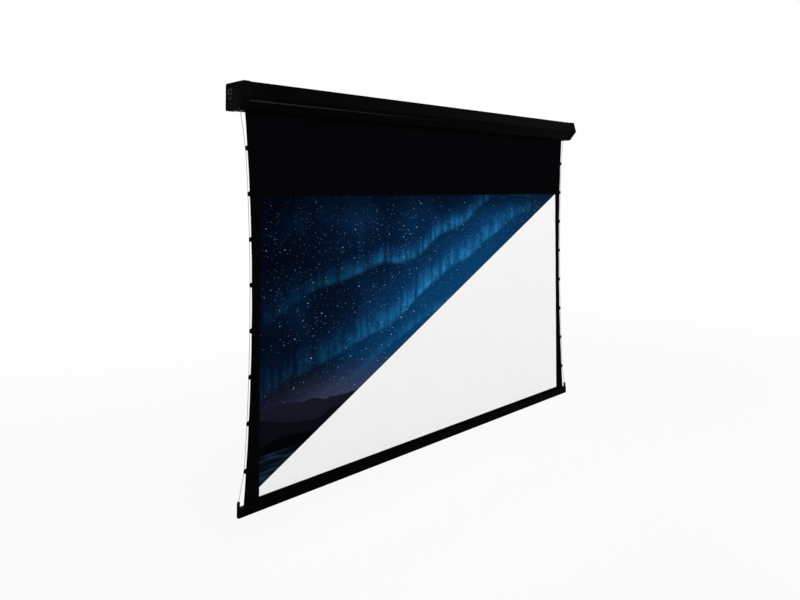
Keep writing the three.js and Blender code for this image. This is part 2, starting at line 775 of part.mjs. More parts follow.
// The white cloth is welded behind the black one, with a lap all round the picture
const viewing = prismY(
  rectangle(
    -pictureWidth / 2 - weldLap, pictureWidth / 2 + weldLap,
    pictureBottom - weldLap, pictureTop + weldLap),
  weldPlane, weldPlane + clothThickness);
addMesh('viewing_cloth', viewing, whiteCloth);

// The cord's route on one side: case, tabs, post and ferrule
const tabHeights = Array.from(
  { length: tabsPerSide }, (_, i) => caseBottom - firstTabBelowCase - i * tabPitch);

function cordRoute(side) {
  const threaded = tabHeights.map((z) => [clothHalfWidth(z) + cordOutsideEdge, z]);
  const route = [
    [cordTop, rollerZ], [cordTop, caseBottom],
    ...threaded,
    [postX, barTop + postHeight], [postX, barTop - springRoof], [postX, ferruleBottom],
  ];
  return route.map(([x, z]) => new THREE.Vector3(side * x, clothMiddle, z));
}

for (const [word, side] of sides) {
  const curve = new THREE.CatmullRomCurve3(cordRoute(side), false, 'centripetal');
  addMesh(`tension_cord_${word}`, tube(curve, cordRadius, 60, 8), greyCord);
}

// A tab: a strap on the back of the cloth that goes round the cord and is welded to itself
function makeTab(side) {
  const inside = cordRadius + cordPlay;
  const outside = inside + tabThickness;
  const strapBack = weldPlane - clothMiddle + tabThickness;
  const strapFront = weldPlane - clothMiddle;
  const start = Math.PI - Math.asin(strapFront / outside);
  const end = 3 * Math.PI - Math.asin(strapBack / outside);
  const outline = [
    point(-cordOutsideEdge - tabLap, strapFront),
    ...arc(0, 0, outside, start, end, 14),
    point(-cordOutsideEdge - tabLap, strapBack),
  ].map(({ x, y }) => point(side * x, y));
  const hole = circle(0, 0, inside, 12);
  return prismZ(outline, -tabHeight / 2, tabHeight / 2, [hole]);
}

for (const [word, side] of sides) {
  const route = cordRoute(1);
  tabHeights.forEach((z, i) => {
    const before = route[i + 1];
    const after = route[i + 3];
    const tab = addMesh(`tab_${word}_${i + 1}`, makeTab(side), blackCloth);
    tab.position.set(side * (clothHalfWidth(z) + cordOutsideEdge), clothMiddle, z);
    tab.rotation.y = side * Math.atan2(before.x - after.x, before.z - after.z);
  });
}

// The weight bar: an extrusion with a seat for the hem along its top and a hollow for ballast
const barCorners = [
  [clothMiddle - barDepth / 2, barBottom, barCornerRadius],
  [clothMiddle + barDepth / 2, barBottom, barCornerRadius],
  [clothMiddle + barDepth / 2, barTop, barCornerRadius],
  [clothMiddle - barDepth / 2, barTop, barCornerRadius],
];
const extrusionEnd = barEnd - barCapLength;
const hemSeatRadius = hemOuter + seatGap;
const hollowTop = hemZ - hemSeatRadius - barWall;
const hollowBottom = barBottom + barWall;
const hollowHalf = barDepth / 2 - barWall;

function makeWeightBar() {
  const body = prismX(roundedOutline(barCorners), -extrusionEnd, extrusionEnd, [
    circle(clothMiddle, hemZ, hemSeatRadius, 24),
    roundedRectangle(
      clothMiddle - hollowHalf, clothMiddle + hollowHalf, hollowBottom, hollowTop, hollowCornerRadius),
  ]);
  const slot = rectangle(
    clothMiddle - barSlotWidth / 2, clothMiddle + barSlotWidth / 2, hemZ, barTop + past);
  return cut(body, prismX(slot, -extrusionEnd - past, extrusionEnd + past));
}

addMesh('weight_bar', makeWeightBar(), satinBlack);

const hemRod = prismX(circle(clothMiddle, hemZ, hemRodRadius, 16), -hemHalf, hemHalf);
addMesh('hem_rod', hemRod, zincSteel);

const ballastHalf = hollowHalf - seatGap;
const ballast = prismX(
  roundedRectangle(
    clothMiddle - ballastHalf, clothMiddle + ballastHalf,
    hollowBottom + seatGap, hollowBottom + seatGap + ballastHeight, hollowCornerRadius),
  -extrusionEnd + ballastShort, extrusionEnd - ballastShort);
addMesh('ballast', ballast, zincSteel);

// Bar end caps: the bar's own outline, and a fin that rises to the cord and narrows upwards, both
// rounded at the outer end
function makeBarCap(side) {
  const block = prismX(roundedOutline(barCorners), side * extrusionEnd, side * barEnd);
  const postTop = barTop + postHeight;
  const topInner = postX - postTopWidth / 2;
  const topOuter = postX + postTopWidth / 2;
  const fin = [
    point(barEnd, barTop - postRoot), point(barEnd, barTop + postShoulder),
    point(topOuter, postTop - postTopBevel), point(topOuter - postTopBevel, postTop),
    point(topInner + postTopBevel, postTop), point(topInner, postTop - postTopBevel),
    point(extrusionEnd + postFootBend, barTop + postFootBend), point(extrusionEnd, barTop),
    point(extrusionEnd, barTop - postRoot),
  ].map(({ x, y }) => point(side * x, y));
  const post = prismY(fin, clothMiddle - postDepth / 2, clothMiddle + postDepth / 2);
  const cordBore = prismZ(
    circle(side * postX, clothMiddle, cordRadius + postPlay, 16),
    springChamberTop - past, postTop + past);
  const flare = new THREE.CylinderGeometry(
    cordRadius + 2 * postPlay, cordRadius + postPlay, postFlare, 16)
    .rotateX(Math.PI / 2).translate(side * postX, clothMiddle, postTop);
  const chamber = prismZ(
    circle(side * postX, clothMiddle, springChamberRadius, 20), barBottom - past, springChamberTop);
  const plan = roundedRectangle(
    extrusionEnd - 2 * barEndRadius, barEnd, clothMiddle - barDepth / 2, clothMiddle + barDepth / 2,
    barEndRadius, 8).map(({ x, y }) => point(side * x, y));
  const rounded = common(joined(block, post), prismZ(plan, barBottom - past, postTop + past));
  return cut(rounded, cordBore, flare, chamber);
}

// A compression spring around the cord, as a helix about a vertical axis
class Helix extends THREE.Curve {
  constructor(x, y, bottom, top, radius, turnCount) {
    super();
    Object.assign(this, { x, y, bottom, top, radius, turnCount });
  }

  getPoint(t, target = new THREE.Vector3()) {
    const angle = 2 * Math.PI * this.turnCount * t;
    return target.set(
      this.x + this.radius * Math.cos(angle),
      this.y + this.radius * Math.sin(angle),
      this.bottom + (this.top - this.bottom) * t);
  }
}

for (const [word, side] of sides) {
  addMesh(`bar_cap_${word}`, makeBarCap(side), capBlack);
  const helix = new Helix(
    side * postX, clothMiddle, springBottom + springWire, springTop - springWire,
    springRadius, springTurns);
  addMesh(`tension_spring_${word}`, tube(helix, springWire, springTurns * 10, 5), springSteel);
  const ferrule = prismZ(
    circle(side * postX, clothMiddle, springChamberRadius - seatGap, 20), ferruleBottom, ferruleTop,
    [circle(side * postX, clothMiddle, cordRadius + seatGap, 12)]);
  addMesh(`cord_ferrule_${word}`, ferrule, bareAluminium);
}

export default screen;
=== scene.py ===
"""Motorised tab tension projection screen, lowered, as it hangs on a wall.

Metres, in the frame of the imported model: X along the case, -Y to the room, +Z up. The sections
follow the screen as it is put together, from the case down to the weight bar.
"""

import json
import math

import bmesh
import bpy
import numpy as np
from mathutils import Matrix, Vector


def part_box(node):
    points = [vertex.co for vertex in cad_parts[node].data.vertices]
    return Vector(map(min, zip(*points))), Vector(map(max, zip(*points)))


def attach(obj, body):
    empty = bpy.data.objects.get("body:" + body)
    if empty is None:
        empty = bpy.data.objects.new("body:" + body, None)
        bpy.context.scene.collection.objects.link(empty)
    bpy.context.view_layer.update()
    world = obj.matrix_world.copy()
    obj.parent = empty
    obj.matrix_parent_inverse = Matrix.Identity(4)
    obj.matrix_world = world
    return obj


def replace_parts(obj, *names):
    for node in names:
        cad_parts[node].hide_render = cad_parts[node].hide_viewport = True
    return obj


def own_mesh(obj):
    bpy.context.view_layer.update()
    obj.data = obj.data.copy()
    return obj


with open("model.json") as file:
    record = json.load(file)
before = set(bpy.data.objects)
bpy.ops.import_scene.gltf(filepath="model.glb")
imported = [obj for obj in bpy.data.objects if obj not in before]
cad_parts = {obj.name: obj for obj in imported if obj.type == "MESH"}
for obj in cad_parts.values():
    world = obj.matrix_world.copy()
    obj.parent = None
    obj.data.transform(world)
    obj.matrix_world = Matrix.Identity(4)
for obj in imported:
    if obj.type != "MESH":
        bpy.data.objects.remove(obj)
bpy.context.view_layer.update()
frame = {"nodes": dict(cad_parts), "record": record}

# The camera stands low and to the left of the screen, level and square to the horizon, as the
# photograph does. The photograph's frame is 800 by 600, and its line of sight is above the middle.
camera_place = Vector((-3.1314, -2.9807, -0.4619))
camera_yaw = 0.7653
camera_pitch = 0.0262
sight_row = 172.6
camera_data = bpy.data.cameras.new("camera")
camera_data.lens = 29.731
camera_data.sensor_width = 36
camera_data.shift_y = (sight_row - 600 / 2) / 800
camera = bpy.data.objects.new("camera", camera_data)
bpy.context.scene.collection.objects.link(camera)
camera.location = camera_place
camera_sight = Vector((
    math.sin(camera_yaw) * math.cos(camera_pitch),
    math.cos(camera_yaw) * math.cos(camera_pitch),
    math.sin(camera_pitch),
))
camera.rotation_mode = "QUATERNION"
camera.rotation_quaternion = camera_sight.to_track_quat("-Z", "Y")
bpy.context.scene.camera = camera

# The case is one long aluminium extrusion with a slanted front, a ridge and a chamfer below it.
# It is powder coated satin black. Its back has the hanging rail, its bottom the cloth's slot.
case_low, case_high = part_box("case_housing")
case_bottom, case_top = case_low.z, case_high.z
case_end = case_high.x
case_back = case_high.y
case_wall = 0.002
case_corners = [
    (case_back, case_bottom, 0.008),
    (case_back, case_top, 0.008),
    (case_back - 0.1677, case_top, 0.006),
    (case_back - 0.186, -0.004, 0.009),
    (case_back - 0.1317, case_bottom, 0.006),
]
rail_half = 0.042
rail_mouth = 0.032
rail_depth = 0.011
cloth_plane = -0.09025
slot_half = 0.012
slot_lip = 0.0025
groove_drop = 0.027
groove_half = 0.0012
groove_depth = 0.001


def arc(centre, radius, start, end, steps):
    """Points on a circle: centre + radius * (cos a, sin a), with a from start to end."""
    angle = np.linspace(start, end, steps + 1)
    return np.array(centre) + radius * np.stack([np.cos(angle), np.sin(angle)], 1)


def rounded_corners(corners, growth=0.0, steps=10):
    """One arc for each corner (u, v, radius) of an anticlockwise polygon grown outwards: its
    centre lies radius inside both sides, and it turns from one side's normal to the next's."""
    spots = np.array(corners)[:, :2]
    radii = np.array(corners)[:, 2]
    leaving = np.roll(spots, -1, 0) - spots
    leaving /= np.linalg.norm(leaving, axis=1, keepdims=True)
    out = np.stack([leaving[:, 1], -leaving[:, 0]], 1)
    arcs = []
    for spot, radius, before, after in zip(spots, radii, np.roll(out, 1, 0), out):
        centre = spot - (before + after) * radius / (1 + before @ after)
        start = math.atan2(before[1], before[0])
        turn = (math.atan2(after[1], after[0]) - start) % (2 * math.pi)
        arcs.append(arc(centre, radius + growth, start, start + turn, steps))
    return arcs


def grid_faces(rows, columns, close_rows=False, close_columns=False):
    """Four-sided faces of a grid of rows by columns points, joined round where it closes."""
    r = np.arange(rows if close_rows else rows - 1)[:, None]
    c = np.arange(columns if close_columns else columns - 1)[None, :]
    r_next, c_next = (r + 1) % rows, (c + 1) % columns
    corners = [(r, c), (r, c_next), (r_next, c_next), (r_next, c)]
    return np.stack([(row * columns + column).ravel() for row, column in corners], 1)


def new_piece(name, points, faces, material, body, slot, smooth_under=35):
    """An object at the origin from points and lists of faces, with smooth shading under an angle,
    riding on a body and taking the given material. The slot argument is not used."""
    mesh = bpy.data.meshes.new(name)
    mesh.from_pydata(np.reshape(points, (-1, 3)).tolist(), [], [list(map(int, f)) for f in faces])
    mesh.validate()
    mesh.shade_smooth()
    mesh.set_sharp_from_angle(angle=math.radians(smooth_under))
    mesh.materials.append(material)
    piece = bpy.data.objects.new(name, mesh)
    bpy.context.scene.collection.objects.link(piece)
    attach(piece, body)
    return piece


def extrusion(outline, stations):
    """A closed outline of (y, z) carried straight through each place on X, with both ends shut."""
    across = np.tile(outline, (len(stations), 1))
    along = np.repeat(stations, len(outline))
    points = np.column_stack([along, across])
    walls = grid_faces(len(stations), len(outline), close_columns=True)
    first = np.arange(len(outline))[::-1]
    last = first[::-1] + (len(stations) - 1) * len(outline)
    return points, [*walls, first, last]


def effect_group(name, inputs, outputs):
    """An empty node group with named sockets; gives it with its input and output nodes."""
    group = bpy.data.node_groups.new(name, "ShaderNodeTree")
    for socket, kind, value in inputs:
        made = group.interface.new_socket(name=socket, in_out="INPUT", socket_type=kind)
        if value is not None:
            made.default_value = value
    for socket, kind in outputs:
        group.interface.new_socket(name=socket, in_out="OUTPUT", socket_type=kind)
    entry = group.nodes.new("NodeGroupInput")
    leave = group.nodes.new("NodeGroupOutput")
    return group, entry, leave


def node(tree, kind, settings=None, **values):
    """A node of a kind, with its settings, and its inputs set from numbers or linked sockets."""
    made = tree.nodes.new(kind)
    for key, value in (settings or {}).items():
        setattr(made, key, value)
    for key, value in values.items():
        numbered = key[0] == "i" and key[1:].isdigit()
        socket = made.inputs[int(key[1:]) if numbered else key]
        if isinstance(value, bpy.types.NodeSocket):
            tree.links.new(value, socket)
        else:
            socket.default_value = value
    return made


def sums(tree, operation, a, b=0.0, c=0.0):
    """The value of one Math node."""
    return node(tree, "ShaderNodeMath", {"operation": operation}, i0=a, i1=b, i2=c).outputs[0]


def product(tree, *factors):
    """The factors multiplied together."""
    total = factors[0]
    for factor in factors[1:]:
        total = sums(tree, "MULTIPLY", total, factor)
    return total


def noise(tree, place, scale, detail, roughness=0.5):
    """Noise from 0 to 1 at a scale, with so many finer layers."""
    return node(tree, "ShaderNodeTexNoise", Vector=place, Scale=scale, Detail=detail,
                Roughness=roughness).outputs[0]


def ramp(tree, value, low, high, to_low=0.0, to_high=1.0):
    """A value taken smoothly from to_low at low to to_high at high."""
    return node(tree, "ShaderNodeMapRange", {"interpolation_type": "SMOOTHSTEP"},
                i0=value, i1=low, i2=high, i3=to_low, i4=to_high).outputs[0]


def mixed(tree, share, a, b):
    """A colour between a and b."""
    made = tree.nodes.new("ShaderNodeMix")
    made.data_type = "RGBA"
    for index, value in ((0, share), (6, a), (7, b)):
        if isinstance(value, bpy.types.NodeSocket):
            tree.links.new(value, made.inputs[index])
        elif index == 0:
            made.inputs[index].default_value = value
        else:
            made.inputs[index].default_value = (*value, 1)
    return made.outputs[2]


def new_finish(name, **constants):
    """A material with one Principled BSDF whose plain numbers are set on its own sockets."""
    material = bpy.data.materials.new(name)
    material.use_nodes = True
    shader = material.node_tree.nodes["Principled BSDF"]
    for socket, value in constants.items():
        shader.inputs[socket.replace("_", " ")].default_value = value
    place = material.node_tree.nodes.new("ShaderNodeTexCoord").outputs["Object"]
    return material, material.node_tree, shader, place


def raised(tree, shader, height, distance):
    """A Bump node that feeds the shader's normal from a height."""
    bump = node(tree, "ShaderNodeBump", Height=height, Distance=distance)
    tree.links.new(bump.outputs["Normal"], shader.inputs["Normal"])


def grain_group():
    """Fine grain over soft patches: one noise at a close scale gives the height, a second at a
    wide scale gives the patches where dust and handling have changed the finish."""
    group, entry, leave = effect_group(
        "fine_grain",
        [("Place", "NodeSocketVector", None), ("Grains", "NodeSocketFloat", 900.0),
         ("Patches", "NodeSocketFloat", 6.0)],
        [("Height", "NodeSocketFloat"), ("Patch", "NodeSocketFloat")])
    close = noise(group, entry.outputs["Place"], entry.outputs["Grains"], 2.0)
    wide = noise(group, entry.outputs["Place"], entry.outputs["Patches"], 3.0)
    group.links.new(close, leave.inputs["Height"])
    group.links.new(ramp(group, wide, 0.35, 0.7), leave.inputs["Patch"])
    return group


fine_grain = grain_group()


def grained_finish(name, dark, light, rough, grains, depth, **constants):
    """A grained coat or moulding: colour and roughness drift over patches, and grain is raised."""
    material, tree, shader, place = new_finish(name, **constants)
    grain = node(tree, "ShaderNodeGroup", {"node_tree": fine_grain}, Place=place, Grains=grains)
    tree.links.new(mixed(tree, grain.outputs["Patch"], dark, light), shader.inputs["Base Color"])
    tree.links.new(ramp(tree, grain.outputs["Patch"], 0, 1, *rough), shader.inputs["Roughness"])
    raised(tree, shader, grain.outputs["Height"], depth)
    return material


case_coat = grained_finish(
    "case_coat", (0.0008, 0.0008, 0.0010), (0.0013, 0.0013, 0.0015), (0.42, 0.48), 1400.0,
    0.00003, Specular_IOR_Level=0.006)


def painted_seam_highlight(material):
    """Painted highlight: the coat is painted a lighter grey along the seam groove, standing in for
    light caught at the groove, most at the motor end: a band in z, faded in x and broken by noise."""
    tree = material.node_tree
    shader = tree.nodes["Principled BSDF"]
    coat = shader.inputs["Base Color"].links[0].from_socket
    place = node(tree, "ShaderNodeTexCoord").outputs["Object"]
    split = node(tree, "ShaderNodeSeparateXYZ", i0=place)
    off = sums(tree, "ABSOLUTE", sums(tree, "ADD", split.outputs[2], groove_drop))
    band = ramp(tree, off, 0.0012, 0.0034, 1.0, 0.0)
    reach = ramp(tree, split.outputs[0], -case_end, 0.12 * case_end, 1.0, 0.0)
    front = ramp(tree, split.outputs[1], cloth_plane - 0.05, cloth_plane - 0.045, 1.0, 0.0)
    highlight_breakup = ramp(tree, noise(tree, place, 55.0, 3.0), 0.25, 0.6, 0.55, 1.0)
    seam_highlight_share = product(tree, band, reach, front, highlight_breakup)
    # The painted highlight: a lighter grey mixed over the coat on the seam band.
    tree.links.new(mixed(tree, seam_highlight_share, coat, (0.026, 0.026, 0.027)), shader.inputs["Base Color"])


# Paints a highlight along the seam groove of the case's coat.
painted_seam_highlight(case_coat)

slot_back, slot_front = cloth_plane + slot_half, cloth_plane - slot_half


def case_outline():
    """Round the outside from the slot's back edge, in at the rail's mouth and the seam groove,
    then back round the inside one wall thickness in."""
    a, b, c, d, e = rounded_corners(case_corners)
    inner_a, inner_b, inner_c, inner_d, inner_e = rounded_corners(case_corners, -case_wall)
    channel_back, channel_front = case_back - case_wall, case_back - rail_depth + case_wall
    channel_half = rail_half - case_wall
    channel = [
        (case_back, -rail_mouth), (channel_back, -rail_mouth), (channel_back, -channel_half),
        (channel_front, -channel_half), (channel_front, channel_half), (channel_back, channel_half),
        (channel_back, rail_mouth), (case_back, rail_mouth),
    ]
    rise = np.array(case_corners[3][:2]) - np.array(case_corners[4][:2])
    along = rise / np.linalg.norm(rise)
    inwards = np.array((along[1], -along[0]))
    seam = np.array(case_corners[4][:2]) + rise * ((-groove_drop - case_bottom) / rise[1])
    groove = [seam + along * groove_half, seam + inwards * groove_depth, seam - along * groove_half]
    rail_front = case_back - rail_depth
    inner_rail = [
        (case_back - case_wall, rail_half), (rail_front, rail_half), (rail_front, -rail_half),
        (case_back - case_wall, -rail_half),
    ]
    turn = math.pi / 2
    back_lip = arc((slot_back, case_bottom + slot_lip), slot_lip, turn, 3 * turn, 8)
    front_lip = arc((slot_front, case_bottom + slot_lip), slot_lip, -turn, turn, 8)
    return np.concatenate([
        a, channel, b, c, d, groove, e, front_lip,
        inner_e[::-1], inner_d[::-1], inner_c[::-1], inner_b[::-1], inner_rail, inner_a[::-1],
        back_lip,
    ])


case_shell = new_piece(
    "case_shell", *extrusion(case_outline(), np.linspace(-case_end, case_end, 9)),
    case_coat, "case_body", "case_black")
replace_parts(case_shell, "case_housing")

# The end caps are moulded sleeves over the ends of the case, and the socket panel is let into the
# left one. They are fine-grained plastic, with edges broken by the mould's small radius.
cap_edge = 0.0007
sharp_angle = math.radians(40)


def brushed_finish(name, dark, light, rough):
    """Metal drawn along X: noise stretched a hundredfold along X streaks colour and roughness."""
    material, tree, shader, place = new_finish(name, Metallic=1.0)
    drawn = node(tree, "ShaderNodeMapping", Vector=place, Scale=(4.0, 400.0, 400.0))
    streak = noise(tree, drawn.outputs[0], 1.0, 3.0)
    tree.links.new(mixed(tree, streak, dark, light), shader.inputs["Base Color"])
    tree.links.new(ramp(tree, streak, 0.3, 0.7, *rough), shader.inputs["Roughness"])
    return material


moulded_black = grained_finish(
    "moulded_black", (0.0011, 0.0011, 0.0013), (0.0020, 0.0020, 0.0022), (0.5, 0.6), 2200.0,
    0.00005, Specular_IOR_Level=0.008)


def softened_copy(name, cad_node, material, body, edge):
    """A copy of a CAD node with its triangles merged into faces and its sharp edges rounded."""
    mesh = frame["nodes"][cad_node].data.copy()
    mesh.name = name
    work = bmesh.new()
    work.from_mesh(mesh)
    bmesh.ops.remove_doubles(work, verts=work.verts, dist=0.000005)
    bmesh.ops.dissolve_limit(
        work, angle_limit=math.radians(1), verts=work.verts, edges=work.edges)
    work.to_mesh(mesh)
    work.free()
    mesh.materials.clear()
    mesh.materials.append(material)
    piece = bpy.data.objects.new(name, mesh)
    bpy.context.scene.collection.objects.link(piece)
    bevel = piece.modifiers.new("rounded_edges", "BEVEL")
    bevel.width = edge
    bevel.segments = 2
    bevel.limit_method = "ANGLE"
    bevel.angle_limit = sharp_angle
    mesh.shade_smooth()
    mesh.set_sharp_from_angle(angle=sharp_angle)
    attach(piece, body)
    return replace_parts(piece, cad_node)


seat_inset = 0.0052
top_seat_reach = 0.1605
bottom_seat_reach = 0.1265
screw_seats = [
    (case_back - seat_inset, case_bottom + seat_inset),
    (case_back - seat_inset, case_top - seat_inset),
    (case_back - top_seat_reach, case_top - seat_inset),
    (case_back - bottom_seat_reach, case_bottom + seat_inset),
]
head_radius = 0.0036
head_depth = 0.0022
head_sunk = 0.0001
cone_tip_radius = 0.0012
cone_mouth_radius = head_radius + 0.0004
cone_depth = head_depth + 0.0006
cone_past_face = 0.0003
cap_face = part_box("end_cap_right")[1].x


def countersunk(piece, seats, outward):
    """Cuts a cone for a screw's head at each (y, z) into a piece's outer face."""
    cones = bmesh.new()
    middle = cap_face + cone_past_face - cone_depth / 2
    turn = Matrix.Rotation(math.pi / 2 * outward, 4, "Y")
    for seat in seats:
        bmesh.ops.create_cone(
            cones, cap_ends=True, segments=32, radius1=cone_tip_radius,
            radius2=cone_mouth_radius, depth=cone_depth,
            matrix=Matrix.Translation((outward * middle, *seat)) @ turn)
    mesh = bpy.data.meshes.new("cones")
    cones.to_mesh(mesh)
    cones.free()
    cutter = bpy.data.objects.new("cones", mesh)
    bpy.context.scene.collection.objects.link(cutter)
    cut = piece.modifiers.new("countersinks", "BOOLEAN")
    cut.object = cutter
    cut.solver = "EXACT"
    rounded = piece.modifiers[0]
    rounded.show_viewport = False
    bpy.context.view_layer.update()
    evaluated = piece.evaluated_get(bpy.context.evaluated_depsgraph_get())
    piece.data = bpy.data.meshes.new_from_object(evaluated)
    piece.modifiers.remove(cut)
    rounded.show_viewport = True
    bpy.data.objects.remove(cutter)


def countersunk_screw(name, place, outward):
    """Rings of (radius, place along the axis), from the point to the head's face, then down the
    cross recess: at angle a the cross reaches min(arm / cos a, half width / sin a)."""
    arm, half_width = 0.0021, 0.0005
    eighth = np.array([0, 0.5 * half_width / arm, half_width / arm, 0.5])
    quarter = np.concatenate([eighth, [np.pi / 4], np.pi / 2 - eighth[:0:-1]])
    angle = np.concatenate([quarter + k * np.pi / 2 for k in range(4)])
    folded = np.abs((angle + np.pi / 4) % (np.pi / 2) - np.pi / 4)
    cross = np.minimum(arm / np.cos(folded), half_width / np.maximum(np.sin(folded), 1e-9))
    rings = [
        (0.0002, -0.0098), (0.0013, -0.008), (0.0017, -head_depth), (head_radius, -0.0003),
        (head_radius - 0.0002, 0), (cross, 0), (cross * 0.7, -0.0013),
    ]
    radius = np.stack([ring + 0 * angle for ring, _ in rings])
    depth = np.array([off for _, off in rings])[:, None] + 0 * radius
    points = np.stack([
        place[0] + outward * depth, place[1] + radius * np.cos(angle) * outward,
        place[2] + radius * np.sin(angle)], -1)
    walls = grid_faces(*radius.shape, close_columns=True)
    last = np.arange(len(angle)) + (len(rings) - 1) * len(angle)
    return new_piece(
        name, points, [*walls, np.arange(len(angle))[::-1], last], black_oxide, "case_body",
        "zinc_steel", 30)


black_oxide = brushed_finish(
    "black_oxide", (0.016, 0.016, 0.017), (0.028, 0.028, 0.03), (0.3, 0.42))
for side, outward in (("left", -1), ("right", 1)):
    face = softened_copy(
        f"case_end_{side}", f"end_cap_{side}", moulded_black, "case_body", cap_edge)
    countersunk(face, screw_seats, outward)
    for i, seat in enumerate(screw_seats):
        head_place = outward * (cap_face - head_sunk), *seat
        countersunk_screw(f"end_screw_{side}_{i + 1}", head_place, outward)
softened_copy("sockets_plate", "socket_panel", moulded_black, "case_body", 0.0002)

# Steel, aluminium and nylon pieces inside and behind the case keep their CAD shapes. Each takes
# the finish of its slot in the record: zinc, mill finish, oiled spring steel, nylon or rubber.
zinc_plate = brushed_finish(
    "zinc_plate", (0.26, 0.27, 0.28), (0.38, 0.38, 0.375), (0.42, 0.54))
mill_aluminium = brushed_finish(
    "mill_aluminium", (0.62, 0.63, 0.64), (0.78, 0.78, 0.79), (0.25, 0.4))
oiled_steel = brushed_finish(
    "oiled_steel", (0.30, 0.31, 0.33), (0.46, 0.46, 0.47), (0.2, 0.32))
black_nylon = grained_finish(
    "black_nylon", (0.014, 0.014, 0.015), (0.023, 0.023, 0.024), (0.45, 0.6), 1800.0, 0.00004,
    Specular_IOR_Level=0.12)
lead_rubber = grained_finish(
    "lead_cover", (0.008, 0.008, 0.008), (0.014, 0.014, 0.014), (0.6, 0.75), 2600.0, 0.00003,
    Specular_IOR_Level=0.12)

for place in ("left", "centre", "right"):
    softened_copy(
        f"hanger_{place}", f"wall_bracket_{place}", zinc_plate, "case_body", 0.0004)
inner_finishes = {
    "zinc_steel": zinc_plate,
    "bare_aluminium": mill_aluminium,
    "spring_steel": oiled_steel,
    "inner_plastic": black_nylon,
    "lead_rubber": lead_rubber,
}
slot_of = {part["node"]: part["material_slot"] for part in frame["record"]["subparts"]}
for name, cad_node in frame["nodes"].items():
    if slot_of[name] in inner_finishes:
        cad_node.data.materials.clear()
        cad_node.data.materials.append(inner_finishes[slot_of[name]])

# The black cloth is one sheet: the drop above the picture, the border round it, and a hem around
# the rod at the bottom, which is a piece of its own because it rides on the bar. The sheet's
# concave sides let the cords pull it flat.
masking_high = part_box("masking_cloth")[1]
viewing_low, viewing_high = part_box("viewing_cloth")
weld_lap = 0.015
picture_half = viewing_high.x - weld_lap
picture_top = viewing_high.z - weld_lap
picture_bottom = viewing_low.z + weld_lap
bar_low, bar_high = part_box("weight_bar")
bar_top = bar_high.z
roll_z = masking_high.z
waist_drop = 0.56
waist_z = picture_top - waist_drop
waist_border = 0.048
top_border = masking_high.x - picture_half
hem_low, hem_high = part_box("hem_rod")
hem_z = (hem_low.z + hem_high.z) / 2
bottom_border = hem_high.x - picture_half
sheet_thickness = 0.0005
ripple_height = 0.0006
ripple_fade = 0.09
calm_above_bar = 0.1
calm_below_case = 0.05
tab_pitch = 0.2265
first_tab_drop = 0.1886
first_tab_z = case_bottom - first_tab_drop


def cloth_half(z):
    """Half the cloth's width at a height: two parabolas that meet at the waist."""
    above = z > waist_z
    reach = np.where(above, case_bottom - waist_z, waist_z - bar_top)
    edge = np.where(above, top_border, bottom_border)
    share = np.minimum(np.abs(z - waist_z) / reach, 1)
    return picture_half + waist_border + (edge - waist_border) * share**2


def ripple(x, z):
    """How far tension pushes the cloth off its plane: one soft wave for each tab along the sides,
    fading inwards, nothing at the case and the bar."""
    inwards = np.maximum(cloth_half(z) - np.abs(x), 0)
    wave = np.cos(2 * np.pi * (z - first_tab_z) / tab_pitch)
    above_bar = np.clip((z - bar_top) / calm_above_bar, 0, 1)
    below_case = np.clip((case_bottom - z) / calm_below_case, 0, 1)
    return ripple_height * wave * np.exp(-inwards / ripple_fade) * (above_bar * below_case)


def thin_solid(front, back, kept=None):
    """A closed sheet from two grids of points with the same rows and columns. Cells that aren't
    kept leave a hole, and every free edge gets a rim between the two faces."""
    rows, columns = front.shape[:2]
    cells = np.ones((rows - 1, columns - 1), bool) if kept is None else kept
    index = np.arange(rows * columns).reshape(rows, columns)
    a, b, c, d = index[:-1, :-1], index[1:, :-1], index[1:, 1:], index[:-1, 1:]
    shift = rows * columns
    faces = [np.stack([a, b, c, d], -1)[cells], (np.stack([d, c, b, a], -1) + shift)[cells]]
    padded = np.pad(cells, 1)
    sides = [
        (padded[:-2, 1:-1], a, d), (padded[2:, 1:-1], c, b),
        (padded[1:-1, :-2], b, a), (padded[1:-1, 2:], d, c),
    ]
    for neighbour, start, end in sides:
        free = cells & ~neighbour
        s, e = start[free], end[free]
        faces.append(np.stack([s, e, e + shift, s + shift], 1))
    points = np.concatenate([front.reshape(-1, 3), back.reshape(-1, 3)])
    faces = np.concatenate(faces)
    used = np.unique(faces)
    renumbered = np.zeros(len(points), int)
    renumbered[used] = np.arange(len(used))
    return points[used], renumbered[faces]


def spread(*knots):
    """Places between knots (place, steps to the next), with every knot kept."""
    runs = [np.linspace(p, q, n, endpoint=False) for (p, n), (q, _) in zip(knots, knots[1:])]
    return np.concatenate([*runs, [knots[-1][0]]])


hem_radius = 0.0049
hem_gap = 0.0001
neck_z = bar_top - 0.001
on_edge = 1e-6


def masking_sheet():
    """Rows run down the sheet and just into the bar's slot. With u from -1 to 1 across, columns are
    straight up to the picture's edge at u = 0.5, then stretch to the curved edge at u = 1."""
    down = spread(
        (roll_z, 6), (case_bottom, 40), (picture_top, 130), (picture_bottom, 4), (neck_z, 0))
    across = spread((-1.0, 8), (-0.5, 80), (0.5, 8), (1.0, 0))
    z, u = down[:, None], across[None, :]
    inside = np.clip(np.abs(u) * 2, 0, 1)
    outside = np.clip(np.abs(u) * 2 - 1, 0, 1)
    x = np.sign(u) * (picture_half * inside + (cloth_half(z) - picture_half) * outside)
    middle = np.stack([x, cloth_plane + ripple(x, z), z + 0 * x], -1)
    half = np.array((0, sheet_thickness / 2, 0))
    rows = (down[:-1] <= picture_top + on_edge) & (down[1:] >= picture_bottom - on_edge)
    columns = (across[:-1] >= -0.5 - on_edge) & (across[1:] <= 0.5 + on_edge)
    return thin_solid(middle - half, middle + half, ~(rows[:, None] & columns[None, :]))


